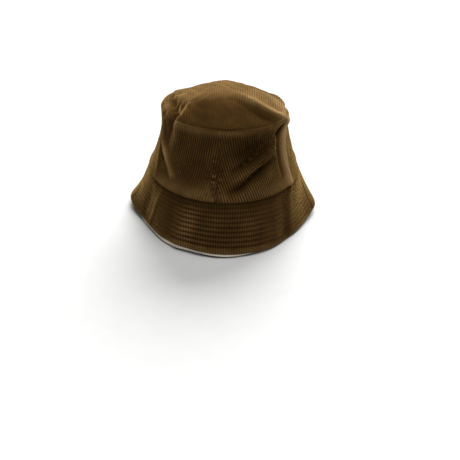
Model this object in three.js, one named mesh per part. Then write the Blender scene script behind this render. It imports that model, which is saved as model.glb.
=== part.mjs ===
// A lined corduroy bucket hat: a crown of two side panels and an oval tip, a stitched brim of two
// halves, an interlining, a light lining and brim facing, a sweatband, a blank label and the threads.
//
// Millimetres, +Z up. The origin is the middle of the head opening, in the plane of the seam between
// crown and brim. -Y is the centre back, +Y the front, over the wearer's face, +X the wearer's right.
//
// Every layer follows one surface, the outside of the hat, at a fixed depth below it. A point of that
// surface has an angle, 0 at the centre back and growing towards +X, and a station: -1 is the edge of
// the brim, 0 the seam between brim and crown, 1 the seam between the crown's side and its tip, and
// 2 the middle of the tip.

import * as THREE from 'three';

// ---- Driving dimensions ----------------------------------------------------------------------

// Outside of the crown at its seam with the brim: an ellipse 600 mm round.
const HEAD_HALF_LENGTH = 103.2;
const HEAD_HALF_WIDTH = 87.5;

// The tip's seam is an oval a little squarer than an ellipse, whose exponent would be 2.
const TIP_HALF_LENGTH = 76.4;
const TIP_HALF_WIDTH = 68.3;
const TIP_SQUARENESS = 2.35;
const TIP_RISE = 23.4;

const CROWN_HEIGHT = 72.5;
const WALL_HOLLOW = 2.2;

// The brim's width from the seam to the edge, and how steeply it hangs below the level, in degrees.
const BRIM_WIDTH = 58;
const BRIM_SLOPE = { back: 76.7, backCorner: 82.2, side: 71.6, frontCorner: 63.4, front: 67.5 };
const BRIM_EASING = 10;

// Cloth and thread.
const CORDUROY = 1.2;
const INTERLINING = 0.6;
const LINING = 0.5;
const SWEATBAND = 0.9;
const LABEL = 0.4;
const GAP = 0.3;
const THREAD_WIDTH = 0.7;
const THREAD_HEIGHT = 0.5;

// The facing is rolled a little past the corduroy at the edge, and the interlining stops short of it.
const FACING_ROLL = 1.2;
const INTERLINING_SETBACK = 5;

const BRIM_ROWS = 9;
const FIRST_ROW = 7.6;
const ROW_PITCH = 5.35;

const SWEATBAND_BOTTOM = 2;
const SWEATBAND_TOP = 28;
const SWEATBAND_STITCH = 4;
const LABEL_BOTTOM = 34;
const LABEL_TOP = 50;
const LABEL_WIDTH = 36;

const STEPS_ROUND = 48;
const WALL_STEPS = 4;
const BRIM_STEPS = 4;
const TIP_STEPS = 4;

// ---- Worked-out values -----------------------------------------------------------------------

const TURN = 2 * Math.PI;
const WALL_LENGTH = Math.hypot(CROWN_HEIGHT, (HEAD_HALF_LENGTH + HEAD_HALF_WIDTH
  - TIP_HALF_LENGTH - TIP_HALF_WIDTH) / 2);
const TIP_RADIUS = (TIP_HALF_LENGTH + TIP_HALF_WIDTH) / 2;
const SEAM_ANGLE = GAP / 2 / TIP_HALF_WIDTH;

const DEPTH = {
  interlining: CORDUROY + GAP,
  facing: CORDUROY + GAP + INTERLINING + GAP,
  lining: CORDUROY + GAP,
  sweatband: CORDUROY + GAP + LINING + GAP,
  bandThread: CORDUROY + GAP + LINING + GAP + SWEATBAND + GAP,
  brimThread: CORDUROY + GAP + INTERLINING + GAP + LINING + GAP,
};

const BACK = 0;
const RIGHT = TURN / 4;
const FRONT = TURN / 2;
const LEFT = 3 * TURN / 4;

// ---- The outside surface of the hat ----------------------------------------------------------

function oval(angle, halfLength, halfWidth, squareness) {
  const sine = Math.sin(angle);
  const cosine = Math.cos(angle);
  const sum = Math.abs(sine / halfWidth) ** squareness + Math.abs(cosine / halfLength) ** squareness;
  const radius = sum ** (-1 / squareness);
  return new THREE.Vector2(radius * sine, -radius * cosine);
}

function headOutward(angle) {
  const outward = new THREE.Vector2(Math.sin(angle) / HEAD_HALF_WIDTH ** 2 * headRadius(angle),
    -Math.cos(angle) / HEAD_HALF_LENGTH ** 2 * headRadius(angle));
  return outward.normalize();
}

function headRadius(angle) {
  return oval(angle, HEAD_HALF_LENGTH, HEAD_HALF_WIDTH, 2).length();
}

// The slope below the level, in radians, as a smooth even wave through the five named slopes.
function brimSlope(angle) {
  const { back, backCorner, side, frontCorner, front } = BRIM_SLOPE;
  const ends = (back + front) / 2;
  const corners = (backCorner + frontCorner) / 2;
  const mean = (ends + side) / 4 + corners / 2;
  const twice = (ends - side) / 2;
  const four = ends - mean - twice;
  const endTilt = (back - front) / 2;
  const cornerTilt = (backCorner - frontCorner) / Math.SQRT2;
  const once = (endTilt + cornerTilt) / 2;
  const thrice = (endTilt - cornerTilt) / 2;
  const degrees = mean + once * Math.cos(angle) + twice * Math.cos(2 * angle)
    + thrice * Math.cos(3 * angle) + four * Math.cos(4 * angle);
  return THREE.MathUtils.degToRad(degrees);
}

// The brim is steeper at its seam than at its edge, so its section is an arc.
function brimPoint(angle, distance) {
  const root = oval(angle, HEAD_HALF_LENGTH, HEAD_HALF_WIDTH, 2);
  const outward = headOutward(angle);
  const easing = THREE.MathUtils.degToRad(BRIM_EASING);
  const slope = brimSlope(angle) + easing * (1 - distance / BRIM_WIDTH) / 2;
  const reach = distance * Math.cos(slope);
  return new THREE.Vector3(root.x + outward.x * reach, root.y + outward.y * reach,
    -distance * Math.sin(slope));
}

function wallPoint(angle, share) {
  const low = oval(angle, HEAD_HALF_LENGTH, HEAD_HALF_WIDTH, 2);
  const high = oval(angle, TIP_HALF_LENGTH, TIP_HALF_WIDTH, TIP_SQUARENESS);
  const across = low.lerp(high, share);
  const outward = headOutward(angle);
  const hollow = 4 * WALL_HOLLOW * share * (1 - share);
  return new THREE.Vector3(across.x - outward.x * hollow, across.y - outward.y * hollow,
    CROWN_HEIGHT * share);
}

function tipPoint(angle, share) {
  const rim = oval(angle, TIP_HALF_LENGTH, TIP_HALF_WIDTH, TIP_SQUARENESS);
  const out = 1 - share;
  return new THREE.Vector3(rim.x * out, rim.y * out, CROWN_HEIGHT + TIP_RISE * (1 - out * out));
}

function surfacePoint(angle, station) {
  if (station < 0) return brimPoint(angle, -station * BRIM_WIDTH);
  if (station <= 1) return wallPoint(angle, station);
  return tipPoint(angle, Math.min(station - 1, 1));
}

// Taken over a wide enough stretch to bisect the fold at each seam, so layers meet there in a mitre.
function surfaceNormal(angle, station) {
  const reach = 0.02;
  if (station > 2 - reach) return new THREE.Vector3(0, 0, 1);
  const round = surfacePoint(angle + reach, station).sub(surfacePoint(angle - reach, station));
  const up = surfacePoint(angle, station + reach).sub(surfacePoint(angle, station - reach));
  return round.cross(up).normalize();
}

function layerPoint(angle, station, depth) {
  const normal = surfaceNormal(angle, station);
  return surfacePoint(angle, station).addScaledVector(normal, -depth);
}

// ---- Stations --------------------------------------------------------------------------------

function brimStation(distance) {
  return -distance / BRIM_WIDTH;
}

function wallStation(height) {
  return height / WALL_LENGTH;
}

function tipStation(distance) {
  return 1 + distance / TIP_RADIUS;
}

function evenSteps(from, to, steps) {
  return Array.from({ length: steps + 1 }, (_, i) => from + (to - from) * i / steps);
}

// ---- Closed solids ---------------------------------------------------------------------------

function solid(points, faces) {
  const geometry = new THREE.BufferGeometry();
  geometry.setAttribute('position', new THREE.Float32BufferAttribute(
    points.flatMap((point) => point.toArray()), 3));
  geometry.setIndex(faces.flat());
  const faceted = geometry.toNonIndexed();
  faceted.computeVertexNormals();
  return faceted;
}

function quad(a, b, c, d) {
  return [[a, b, c], [a, c, d]];
}

// A panel of cloth between two depths, over a patch of angles and stations, with its four edges.
function panel(angles, stations, outer, inner) {
  const wide = angles.length;
  const tall = stations.length;
  const points = [];
  for (const depth of [outer, inner]) {
    for (const station of stations) {
      for (const angle of angles) points.push(layerPoint(angle, station, depth));
    }
  }
  const out = (i, j) => j * wide + i;
  const inn = (i, j) => wide * tall + j * wide + i;
  const faces = [];
  for (let j = 0; j < tall - 1; j += 1) {
    for (let i = 0; i < wide - 1; i += 1) {
      faces.push(...quad(out(i, j), out(i + 1, j), out(i + 1, j + 1), out(i, j + 1)));
      faces.push(...quad(inn(i, j), inn(i, j + 1), inn(i + 1, j + 1), inn(i + 1, j)));
    }
    const last = wide - 1;
    faces.push(...quad(out(0, j), out(0, j + 1), inn(0, j + 1), inn(0, j)));
    faces.push(...quad(out(last, j + 1), out(last, j), inn(last, j), inn(last, j + 1)));
  }
  for (let i = 0; i < wide - 1; i += 1) {
    const top = tall - 1;
    faces.push(...quad(out(i + 1, 0), out(i, 0), inn(i, 0), inn(i + 1, 0)));
    faces.push(...quad(out(i, top), out(i + 1, top), inn(i + 1, top), inn(i, top)));
  }
  return solid(points, faces);
}

// The oval tip: rings of points that close on a middle point, on each side of the cloth.
function disc(stations, outer, inner) {
  const rings = stations.length;
  const angles = evenSteps(0, TURN, STEPS_ROUND).slice(0, -1);
  const points = [];
  for (const depth of [outer, inner]) {
    for (const station of stations) {
      for (const angle of angles) points.push(layerPoint(angle, station, depth));
    }
    points.push(layerPoint(0, 2, depth));
  }
  const side = rings * STEPS_ROUND + 1;
  const at = (face, i, j) => face * side + j * STEPS_ROUND + i % STEPS_ROUND;
  const middle = (face) => face * side + rings * STEPS_ROUND;
  const faces = [];
  for (let i = 0; i < STEPS_ROUND; i += 1) {
    for (let j = 0; j < rings - 1; j += 1) {
      faces.push(...quad(at(0, i, j), at(0, i + 1, j), at(0, i + 1, j + 1), at(0, i, j + 1)));
      faces.push(...quad(at(1, i, j), at(1, i, j + 1), at(1, i + 1, j + 1), at(1, i + 1, j)));
    }
    faces.push([at(0, i, rings - 1), at(0, i + 1, rings - 1), middle(0)]);
    faces.push([at(1, i + 1, rings - 1), at(1, i, rings - 1), middle(1)]);
    faces.push(...quad(at(0, i + 1, 0), at(0, i, 0), at(1, i, 0), at(1, i + 1, 0)));
  }
  return solid(points, faces);
}

// A row of stitches as one closed ring of thread with a three-sided section. Its base is at the
// given depth, and its ridge stands off it, outwards or into the hat.
function threadRing(station, stationsPerMm, depth, standing) {
  const half = THREAD_WIDTH / 2 * stationsPerMm;
  const ridge = depth - standing * THREAD_HEIGHT;
  const section = [[station - half, depth], [station + half, depth], [station, ridge]];
  const points = [];
  for (const angle of evenSteps(0, TURN, STEPS_ROUND).slice(0, -1)) {
    for (const [place, below] of section) points.push(layerPoint(angle, place, below));
  }
  const at = (i, k) => i % STEPS_ROUND * 3 + k % 3;
  const faces = [];
  for (let i = 0; i < STEPS_ROUND; i += 1) {
    for (let k = 0; k < 3; k += 1) {
      const ring = quad(at(i, k), at(i, k + 1), at(i + 1, k + 1), at(i + 1, k));
      faces.push(...(standing > 0 ? ring : ring.map((face) => face.reverse())));
    }
  }
  return solid(points, faces);
}

// ---- Materials -------------------------------------------------------------------------------

const COLOURS = {
  corduroy: 0x4a3319,
  cream: 0xd9cdb8,
  interlining: 0xe4e0d6,
  band: 0x4a3622,
  label: 0xcfc5b2,
  thread: 0x3a2713,
  paleThread: 0xcabfa8,
};

function cloth(colour, roughness) {
  return new THREE.MeshStandardMaterial({ color: colour, roughness, metalness: 0 });
}

// ---- Assembly --------------------------------------------------------------------------------

const hat = new THREE.Group();

function add(name, geometry, colour, roughness = 0.9) {
  const mesh = new THREE.Mesh(geometry, cloth(colour, roughness));
  mesh.name = name;
  hat.add(mesh);
}

function anglesBetween(from, to) {
  const steps = Math.round((to - from) / TURN * STEPS_ROUND);
  const angles = evenSteps(from, to, steps);
  angles[0] += SEAM_ANGLE;
  angles[steps] -= SEAM_ANGLE;
  return angles;
}

const RIGHT_HALF = anglesBetween(BACK, FRONT);
const LEFT_HALF = anglesBetween(FRONT, FRONT + TURN / 2);
const FRONT_HALF = anglesBetween(RIGHT, LEFT);
const BACK_HALF = anglesBetween(LEFT, LEFT + TURN / 2);

const HALF_GAP = GAP / 2;
const WALL_STATIONS = evenSteps(wallStation(HALF_GAP), 1 - wallStation(HALF_GAP), WALL_STEPS);
const TIP_STATIONS = evenSteps(tipStation(HALF_GAP), 2, TIP_STEPS).slice(0, -1);

function brimStations(width) {
  return evenSteps(brimStation(width), brimStation(HALF_GAP), BRIM_STEPS);
}

function addCrown() {
  add('crown_tip_outer', disc(TIP_STATIONS, 0, CORDUROY), COLOURS.corduroy);
  add('crown_side_outer_right', panel(RIGHT_HALF, WALL_STATIONS, 0, CORDUROY), COLOURS.corduroy);
  add('crown_side_outer_left', panel(LEFT_HALF, WALL_STATIONS, 0, CORDUROY), COLOURS.corduroy);
  const inner = DEPTH.lining + LINING;
  add('crown_tip_lining', disc(TIP_STATIONS, DEPTH.lining, inner), COLOURS.cream);
  add('crown_lining_right', panel(RIGHT_HALF, WALL_STATIONS, DEPTH.lining, inner), COLOURS.cream);
  add('crown_lining_left', panel(LEFT_HALF, WALL_STATIONS, DEPTH.lining, inner), COLOURS.cream);
}

function addBrimHalf(half, angles) {
  const stations = brimStations(BRIM_WIDTH);
  const short = brimStations(BRIM_WIDTH - INTERLINING_SETBACK);
  const rolled = brimStations(BRIM_WIDTH + FACING_ROLL);
  const stiffener = panel(angles, short, DEPTH.interlining, DEPTH.interlining + INTERLINING);
  const facing = panel(angles, rolled, DEPTH.facing, DEPTH.facing + LINING);
  add(`brim_outer_${half}`, panel(angles, stations, 0, CORDUROY), COLOURS.corduroy);
  add(`brim_interlining_${half}`, stiffener, COLOURS.interlining);
  add(`brim_facing_${half}`, facing, COLOURS.cream);
}

function addBrimStitching() {
  for (let row = 1; row <= BRIM_ROWS; row += 1) {
    const station = brimStation(FIRST_ROW + (row - 1) * ROW_PITCH);
    const perMm = 1 / BRIM_WIDTH;
    const number = String(row).padStart(2, '0');
    add(`brim_stitch_row_${number}`, threadRing(station, perMm, -GAP, 1), COLOURS.thread);
    const under = threadRing(station, perMm, DEPTH.brimThread, -1);
    add(`brim_bobbin_row_${number}`, under, COLOURS.paleThread);
  }
}

function addSweatband() {
  const angles = anglesBetween(BACK, TURN);
  const stations = evenSteps(wallStation(SWEATBAND_BOTTOM), wallStation(SWEATBAND_TOP), 2);
  const band = panel(angles, stations, DEPTH.sweatband, DEPTH.sweatband + SWEATBAND);
  add('sweatband', band, COLOURS.band, 0.8);
  const stitch = threadRing(wallStation(SWEATBAND_STITCH), 1 / WALL_LENGTH, DEPTH.bandThread, -1);
  add('sweatband_stitch', stitch, COLOURS.thread);
}

function addLabel() {
  const half = LABEL_WIDTH / 2 / HEAD_HALF_LENGTH;
  const angles = evenSteps(-half, half, 4);
  const stations = evenSteps(wallStation(LABEL_BOTTOM), wallStation(LABEL_TOP), 1);
  const tag = panel(angles, stations, DEPTH.sweatband, DEPTH.sweatband + LABEL);
  add('blank_label', tag, COLOURS.label);
}

addCrown();
addBrimHalf('front', FRONT_HALF);
addBrimHalf('back', BACK_HALF);
addBrimStitching();
addSweatband();
addLabel();

export default hat;
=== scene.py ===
"""A lined corduroy bucket hat, seen from behind and a little above.

Every layer of the hat follows one surface, the outside of the hat, at a fixed depth below it. A point
of that surface has an angle, 0 at the centre back and growing towards +X, and a station: -1 is the edge
of the brim, 0 the seam between brim and crown, 1 the seam between the crown's side and its tip, and 2 the
middle of the tip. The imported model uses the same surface. Here it also gets the folds, the seams, the
puffed rows of the brim and the wales of the corduroy. Cloth sizes are in millimetres, and the meshes in
metres.
"""

import math

import bpy
import numpy as np
from mathutils import Matrix, Vector


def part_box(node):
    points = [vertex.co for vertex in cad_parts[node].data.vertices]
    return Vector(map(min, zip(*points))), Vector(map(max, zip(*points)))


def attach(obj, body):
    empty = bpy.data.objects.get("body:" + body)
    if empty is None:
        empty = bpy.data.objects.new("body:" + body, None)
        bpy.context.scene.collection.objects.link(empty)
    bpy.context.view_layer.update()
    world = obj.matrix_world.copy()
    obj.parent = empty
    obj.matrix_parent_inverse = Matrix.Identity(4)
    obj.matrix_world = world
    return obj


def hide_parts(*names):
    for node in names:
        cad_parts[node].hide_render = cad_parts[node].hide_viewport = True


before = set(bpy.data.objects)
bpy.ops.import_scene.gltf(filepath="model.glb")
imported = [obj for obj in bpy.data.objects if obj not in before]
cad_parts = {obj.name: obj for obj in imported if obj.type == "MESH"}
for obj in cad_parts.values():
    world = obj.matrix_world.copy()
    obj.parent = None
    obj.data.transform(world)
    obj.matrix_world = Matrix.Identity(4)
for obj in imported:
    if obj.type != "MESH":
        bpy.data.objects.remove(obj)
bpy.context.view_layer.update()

MM = 0.001
TURN = 2 * math.pi

# ---- The hat's main sizes, in millimetres ------------------------------------------------------

side_high, tip_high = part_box("crown_side_outer_right")[1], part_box("crown_tip_outer")[1]

HEAD_HALF_WIDTH, HEAD_HALF_LENGTH, CROWN_HEIGHT = (side / MM for side in side_high)
TIP_HALF_WIDTH, TIP_HALF_LENGTH = tip_high.x / MM, tip_high.y / MM
TIP_SQUARENESS = 2.35
TIP_RISE = (tip_high.z - side_high.z) / MM
WALL_HOLLOW = 2.2
BRIM_WIDTH = 58.0
BRIM_SLOPE_BACK, BRIM_SLOPE_BACK_CORNER, BRIM_SLOPE_SIDE = 76.7, 82.2, 71.6
BRIM_SLOPE_FRONT_CORNER, BRIM_SLOPE_FRONT = 63.4, 67.5
BRIM_EASING = math.radians(10)

WALL_LENGTH = math.hypot(CROWN_HEIGHT, (HEAD_HALF_LENGTH + HEAD_HALF_WIDTH
                                        - TIP_HALF_LENGTH - TIP_HALF_WIDTH) / 2)
TIP_RADIUS = (TIP_HALF_LENGTH + TIP_HALF_WIDTH) / 2
HEAD_RADIUS = (HEAD_HALF_LENGTH + HEAD_HALF_WIDTH) / 2

CORDUROY = 1.2
INTERLINING = 0.6
LINING = 0.5
SWEATBAND = 0.9
LABEL = 0.4
INTERLINING_SETBACK = 5.0
GAP = 0.3
INTERLINING_DEPTH = CORDUROY + GAP
FACING_DEPTH = INTERLINING_DEPTH + INTERLINING + GAP
LINING_DEPTH = CORDUROY + GAP
BAND_DEPTH = LINING_DEPTH + LINING + GAP

WALE_PITCH = 2.75
WALE_HEIGHT = 0.75

QUILTING = 1.05
ROW_DIP = 0.35
BRIM_ROWS = 9
FIRST_ROW = 7.6
ROW_PITCH = 5.35

BACK, RIGHT, FRONT, LEFT = 0.0, TURN / 4, TURN / 2, 3 * TURN / 4
# The panels of the crown's side and of the brim: name, angle of the first seam, angle of the middle.
CROWN_PANELS = (("right", BACK, RIGHT), ("left", FRONT, LEFT))
BRIM_PANELS = (("front", RIGHT, FRONT), ("back", LEFT, BACK))

# ---- Small helpers -----------------------------------------------------------------------------


def bell(x, width):
    """1 at x = 0, falling off smoothly over width on both sides."""
    return np.exp(-(x / width) ** 2)


def ramp(low, high, x):
    """0 up to low, 1 from high, and smooth between."""
    t = np.clip((x - low) / (high - low), 0, 1)
    return t * t * (3 - 2 * t)


def window(x, start, risen, fading, end):
    """0 outside start to end, 1 from risen to fading, and smooth between."""
    return ramp(start, risen, x) * ramp(end, fading, x)


def from_centre_back(angle):
    """The angle as degrees from -180 to 180, 0 at the centre back and positive towards +X."""
    return (np.degrees(angle) + 180) % 360 - 180


def unit(v):
    return v / np.linalg.norm(v, axis=-1, keepdims=True)


def matched(angle, station):
    """Both as arrays of one shape."""
    return np.broadcast_arrays(np.asarray(angle, float), np.asarray(station, float))


# ---- The surface without its folds -------------------------------------------------------------


def oval(angle, half_length, half_width, squareness):
    sine, cosine = np.sin(angle), np.cos(angle)
    total = np.abs(sine / half_width) ** squareness + np.abs(cosine / half_length) ** squareness
    radius = total ** (-1 / squareness)
    return radius * sine, -radius * cosine


def head_oval(angle):
    """The seam between brim and crown, and the level direction outwards from it: x, y, nx, ny."""
    x, y = oval(angle, HEAD_HALF_LENGTH, HEAD_HALF_WIDTH, 2)
    nx, ny = x / HEAD_HALF_WIDTH ** 2, y / HEAD_HALF_LENGTH ** 2
    length = np.hypot(nx, ny)
    return x, y, nx / length, ny / length


def tip_oval(angle):
    return oval(angle, TIP_HALF_LENGTH, TIP_HALF_WIDTH, TIP_SQUARENESS)


def brim_slope(angle):
    """The brim's slope below the level, in radians: a smooth even wave through the five slopes."""
    ends = (BRIM_SLOPE_BACK + BRIM_SLOPE_FRONT) / 2
    corners = (BRIM_SLOPE_BACK_CORNER + BRIM_SLOPE_FRONT_CORNER) / 2
    mean = (ends + BRIM_SLOPE_SIDE) / 4 + corners / 2
    twice = (ends - BRIM_SLOPE_SIDE) / 2
    four = ends - mean - twice
    end_tilt = (BRIM_SLOPE_BACK - BRIM_SLOPE_FRONT) / 2
    corner_tilt = (BRIM_SLOPE_BACK_CORNER - BRIM_SLOPE_FRONT_CORNER) / math.sqrt(2)
    once, thrice = (end_tilt + corner_tilt) / 2, (end_tilt - corner_tilt) / 2
    return np.radians(mean + once * np.cos(angle) + twice * np.cos(2 * angle)
                      + thrice * np.cos(3 * angle) + four * np.cos(4 * angle))


def brim_fullness(angle):
    """The brim's cut width against its even width: it is fullest right of the back."""
    degrees = from_centre_back(angle)
    longer = 2.6 * bell(degrees - 40, 26) - 0.8 * bell(degrees + 20, 16)
    return 1 + (longer + 0.3 * np.sin(3 * angle + 1.0)) / BRIM_WIDTH


def brim_points(angle, distance):
    distance = distance * brim_fullness(angle)
    x, y, nx, ny = head_oval(angle)
    slope = brim_slope(angle) + BRIM_EASING * (1 - distance / BRIM_WIDTH) / 2
    reach = distance * np.cos(slope)
    return np.stack([x + nx * reach, y + ny * reach, -distance * np.sin(slope)], -1)


def wall_points(angle, share):
    x0, y0, nx, ny = head_oval(angle)
    x1, y1 = tip_oval(angle)
    hollow = 4 * WALL_HOLLOW * share * (1 - share)
    x = x0 * (1 - share) + x1 * share - nx * hollow
    y = y0 * (1 - share) + y1 * share - ny * hollow
    return np.stack([x, y, CROWN_HEIGHT * share], -1)


def tip_points(angle, share):
    x, y = tip_oval(angle)
    out = 1 - share
    return np.stack([x * out, y * out, CROWN_HEIGHT + TIP_RISE * (1 - out ** 2)], -1)


def base_points(angle, station):
    angle, station = matched(angle, station)
    brim = brim_points(angle, np.maximum(-station, 0) * BRIM_WIDTH)
    wall = wall_points(angle, np.clip(station, 0, 1))
    tip = tip_points(angle, np.clip(station - 1, 0, 1))
    s = station[..., None]
    return np.where(s < 0, brim, np.where(s <= 1, wall, tip))


def base_normals(angle, station):
    """Outward, taken over a wide enough stretch to bisect the fold at each seam."""
    reach = 0.02
    angle, station = matched(angle, station)
    near_middle = station > 2 - 3 * reach
    place = np.where(near_middle, 2 - 3 * reach, station)
    around = base_points(angle + reach, place) - base_points(angle - reach, place)
    up = base_points(angle, place + reach) - base_points(angle, place - reach)
    normal = unit(np.cross(around, up))
    share = np.where(near_middle, (2 - station) / (3 * reach), 1)[..., None]
    return unit(normal * share + np.array([0, 0, 1.0]) * (1 - share))


# ---- Folds and creases -------------------------------------------------------------------------

# Each fold runs through points (degrees from the centre back, station, strength). It has a height in
# millimetres, negative for a valley, and the widths over which it falls off on the side that lies left
# of its direction, seen from outside, and on the right.
FOLDS = [
    # Tip, left: a sharp ridge from the tip down over its seam, and the hollow beside it.
    ([(-52, 1.36, 0.1), (-45, 1.25, 0.8), (-38.5, 1.11, 1.0), (-41, 0.99, 1.0), (-39.5, 0.87, 0.9),
      (-40, 0.70, 0.5), (-42, 0.5, 0.2)], 4.2, 6.0, 3.0),
    ([(-92, 1.10, 0.3), (-66, 1.15, 1.0), (-48, 1.09, 1.0), (-47, 0.97, 0.7)], -6.0, 5.0, 5.5),
    ([(-47, 0.92, 0.4), (-48, 0.78, 1.0), (-50, 0.55, 0.5)], -2.2, 4.0, 4.0),
    # Tip, right: a long slanting ridge, the hollow under it and the pinch at the corner.
    ([(38, 1.70, 0.2), (44.5, 1.41, 0.8), (49.5, 1.20, 1.0), (57, 1.04, 1.0), (70, 0.93, 0.8)],
     4.4, 10.0, 4.0),
    ([(18, 1.60, 0.4), (34, 1.32, 1.0), (41, 1.16, 1.0), (47, 1.04, 0.5)], -3.2, 5.0, 8.0),
    ([(78, 0.96, 0.6), (69, 0.91, 1.0), (56, 0.84, 1.0), (45, 0.77, 0.3)], -4.6, 3.4, 4.0),
    # Crown, right: an upright ridge from the corner down over the brim.
    ([(88, 0.98, 0.3), (73, 0.90, 0.8), (62, 0.82, 1.0), (57, 0.66, 1.0), (56.5, 0.40, 0.9),
      (57, 0.10, 0.7), (57, -0.10, 0.3)], 4.6, 3.8, 4.2),
    ([(54, -0.05, 0.3), (56, -0.45, 1.0), (54.5, -0.85, 0.6)], 0.6, 5.0, 5.0),
    ([(56, 0.84, 0.6), (50.5, 0.68, 1.0), (49.5, 0.45, 0.8), (50, 0.2, 0.3)], -3.4, 3.0, 4.0),
    # Crown, right: two slanting creases with a soft roll between and above them.
    ([(7, 0.13, 0.5), (13, 0.20, 1.0), (19, 0.30, 1.0), (24, 0.365, 1.0), (31, 0.42, 1.0),
      (43, 0.49, 0.4)],
     -5.6, 3.0, 4.6),
    ([(9, 0.40, 0.4), (14.5, 0.47, 0.8), (23, 0.56, 1.0), (33.5, 0.67, 0.8), (42, 0.73, 0.2)],
     -4.8, 3.6, 4.4),
    ([(9, 0.26, 0.3), (16, 0.35, 1.0), (27, 0.48, 1.0), (38, 0.55, 0.4)], 3.6, 4.4, 4.2),
    ([(16, 0.08, 0.4), (26, 0.18, 1.0), (38, 0.31, 0.6)], 2.4, 6.0, 7.0),
    ([(5, 0.60, 0.4), (14, 0.64, 1.0), (26, 0.73, 1.0), (37, 0.80, 0.5)], -4.2, 8.0, 8.0),
    # Crown, left: upright ridges near the side.
    ([(-62, 0.90, 0.4), (-57, 0.62, 1.0), (-46, 0.43, 1.0), (-36, 0.20, 0.6)], 5.0, 4.0, 3.6),
    ([(-74, 0.92, 0.5), (-68, 0.60, 1.0), (-61, 0.30, 0.8), (-56, 0.05, 0.4)], 1.3, 4.5, 4.5),
    ([(-66, 0.95, 0.5), (-62, 0.62, 1.0), (-53, 0.38, 0.6)], -3.6, 4.0, 4.0),
    # Brim: soft ridges that run on from the crown's, and a hollow between two of them.
    ([(-43, -0.02, 0.3), (-50, -0.44, 1.0), (-54.5, -0.90, 0.7)], 1.5, 3.6, 4.2),
    ([(-22, -0.20, 0.5), (-22, -0.60, 1.0), (-24, -0.95, 0.8)], 3.0, 8.0, 8.0),
    ([(-30, -0.25, 0.6), (-33, -0.75, 1.0)], -0.8, 8.0, 8.0),
    ([(-60, -0.30, 0.6), (-66, -0.80, 1.0)], -1.5, 8.0, 8.0),
    ([(46, -0.20, 0.6), (48, -0.80, 1.0)], -1.8, 8.0, 8.0),
    ([(36, -0.25, 0.4), (37, -0.80, 1.0)], 0.8, 6.0, 6.0),
    # Front and sides, which hang freely: a few soft folds.
    ([(150, 0.12, 0.4), (141, 0.38, 1.0), (128, 0.60, 0.4)], -3.0, 5.0, 6.0),
    ([(163, 0.82, 0.3), (150, 0.62, 1.0), (138, 0.35, 0.5)], 2.2, 7.0, 7.0),
    ([(-128, 0.92, 0.8), (-131, 0.55, 1.0), (-138, 0.15, 0.5)], 2.8, 5.0, 6.0),
    ([(-108, 0.90, 0.5), (-113, 0.55, 1.0), (-118, 0.2, 0.4)], -2.8, 6.0, 6.0),
    ([(-160, 0.20, 0.4), (-168, 0.50, 1.0), (-176, 0.78, 0.4)], -2.4, 5.0, 7.0),
    ([(112, 0.85, 0.5), (108, 0.50, 1.0), (104, 0.12, 0.5)], -2.0, 6.0, 6.0),
    ([(120, 1.10, 0.9), (139, 1.30, 1.0), (160, 1.52, 0.3)], 2.4, 5.0, 7.0),
    ([(-118, 1.08, 0.9), (-140, 1.28, 1.0), (-165, 1.50, 0.2)], 2.0, 7.0, 5.0),
    ([(112, -0.20, 0.4), (118, -0.60, 1.0), (121, -0.95, 0.7)], 1.8, 7.0, 7.0),
    ([(-120, -0.25, 0.4), (-124, -0.65, 1.0), (-126, -0.95, 0.7)], 1.8, 7.0, 7.0),
    ([(170, -0.45, 0.5), (172, -0.95, 1.0)], -1.6, 12.0, 12.0),
]

# How far the seam between crown and brim is sunk, in millimetres.
ROOT_DEPTH = 1.6

# Round swellings: (degrees, station, height, radius).
SWELLINGS = [
    (-94, 0.93, 4.6, 19.0),
    (-97, 0.86, 1.2, 12.0),
    (97, 0.86, -2.0, 12.0),
    (96, 0.60, -2.2, 20.0),
    (95, 0.14, -2.2, 16.0),
    (-150, 1.0, 1.0, 18.0),
    (150, 1.0, 1.0, 18.0),
    (142, 1.24, -7.0, 27.0),
    (-140, 1.25, -5.5, 22.0),
    (2, 1.0, -1.6, 8.0),
    (-20, 0.62, 1.2, 20.0),
    (-75, 1.35, 1.2, 14.0),
    (74, 1.40, 1.4, 16.0),
    (6, 1.50, -1.6, 26.0),
]


def rounded(path):
    """The path with its corners cut, so that it bends instead of breaking."""
    knots = np.array(path, float)
    first, last = knots[:-1] * 0.75 + knots[1:] * 0.25, knots[:-1] * 0.25 + knots[1:] * 0.75
    between = np.stack([first, last], 1).reshape(-1, knots.shape[1])
    return np.concatenate([knots[:1], between, knots[-1:]])


def fold_height(points, normals, path, height, left, right):
    """How far one fold lifts each point, from the point's distance to the fold's path."""
    knots = rounded(path)
    line = base_points(np.radians(knots[:, 0]), knots[:, 1])
    reach = 3 * max(left, right)
    near = np.all((points > line.min(0) - reach) & (points < line.max(0) + reach), axis=-1)
    lift = np.zeros(points.shape[:-1])
    here, out = points[near], normals[near]
    nearest = np.full(len(here), np.inf)
    side, strength = np.zeros(len(here)), np.zeros(len(here))
    for start, end, s0, s1 in zip(line[:-1], line[1:], knots[:-1, 2], knots[1:, 2]):
        along = end - start
        share = np.clip(((here - start) @ along) / (along @ along), 0, 1)
        offset = here - (start + share[:, None] * along)
        distance = np.linalg.norm(offset, axis=-1)
        closer = distance < nearest
        leftward = np.cross(out, unit(along))
        nearest = np.where(closer, distance, nearest)
        side = np.where(closer, np.sum(offset * leftward, -1), side)
        strength = np.where(closer, s0 + (s1 - s0) * share, strength)
    balance = 0.5 + 0.5 * np.clip(side / np.maximum(nearest, 1e-6), -1, 1)
    width = right + (left - right) * balance
    lift[near] = height * strength * np.exp(-(nearest / width) ** 1.7)
    return lift


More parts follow.
